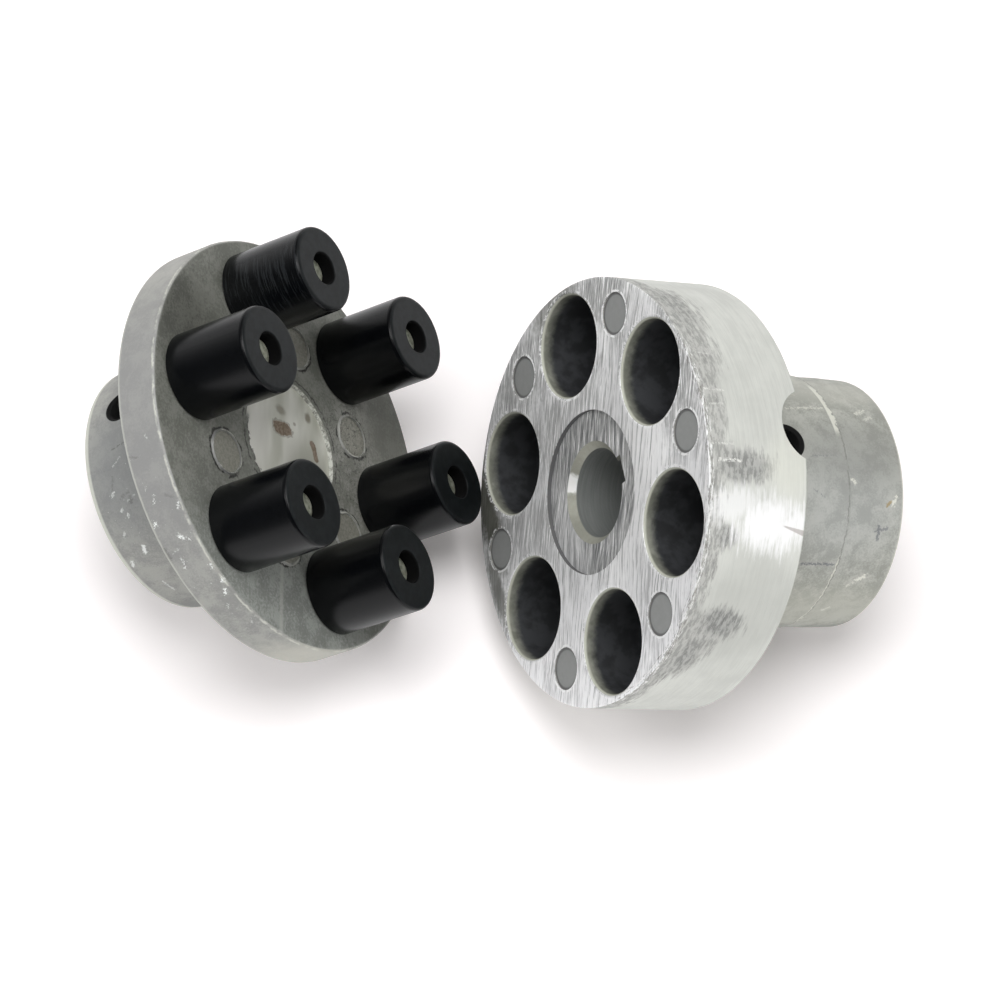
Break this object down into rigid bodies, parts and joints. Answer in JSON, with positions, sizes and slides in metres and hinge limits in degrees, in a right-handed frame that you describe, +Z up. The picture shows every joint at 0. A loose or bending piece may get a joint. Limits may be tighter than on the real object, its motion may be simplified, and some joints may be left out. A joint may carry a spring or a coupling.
{
  "type": "flexible shaft coupling",
  "caption": "Pin and bush flexible shaft coupling, shown uncoupled: cast half with rubber-bushed steel pins, and a socket half with blind sockets, each keyed and set-screwed to a shaft.",
  "frame": {"origin": "on the ground under the centre of the pair's bounding box", "axes": "+Z up from the ground that both halves lie on, +X from the pin half towards the socket half, +Y away from the viewer"},
  "size_m": [0.2308, 0.1332, 0.1214],
  "materials": {
    "cast_aluminium": "as cast, dull grey",
    "machined_aluminium": "machined and sanded face and rim, as cast hub",
    "pin_steel": "turned",
    "black_steel": "black oxide",
    "bush_rubber": "satin"
  },
  "bodies": {
    "root": {"pin_half": "cast_aluminium", "pin_half_set_screw": "black_steel", "socket_half": "machined_aluminium", "socket_half_set_screw": "black_steel", "drive_pin_1": "pin_steel", "drive_pin_2": "pin_steel", "drive_pin_3": "pin_steel", "drive_pin_4": "pin_steel", "drive_pin_5": "pin_steel", "drive_pin_6": "pin_steel", "rubber_bush_1": "bush_rubber", "rubber_bush_2": "bush_rubber", "rubber_bush_3": "bush_rubber", "rubber_bush_4": "bush_rubber", "rubber_bush_5": "bush_rubber", "rubber_bush_6": "bush_rubber"}
  },
  "joints": []
}
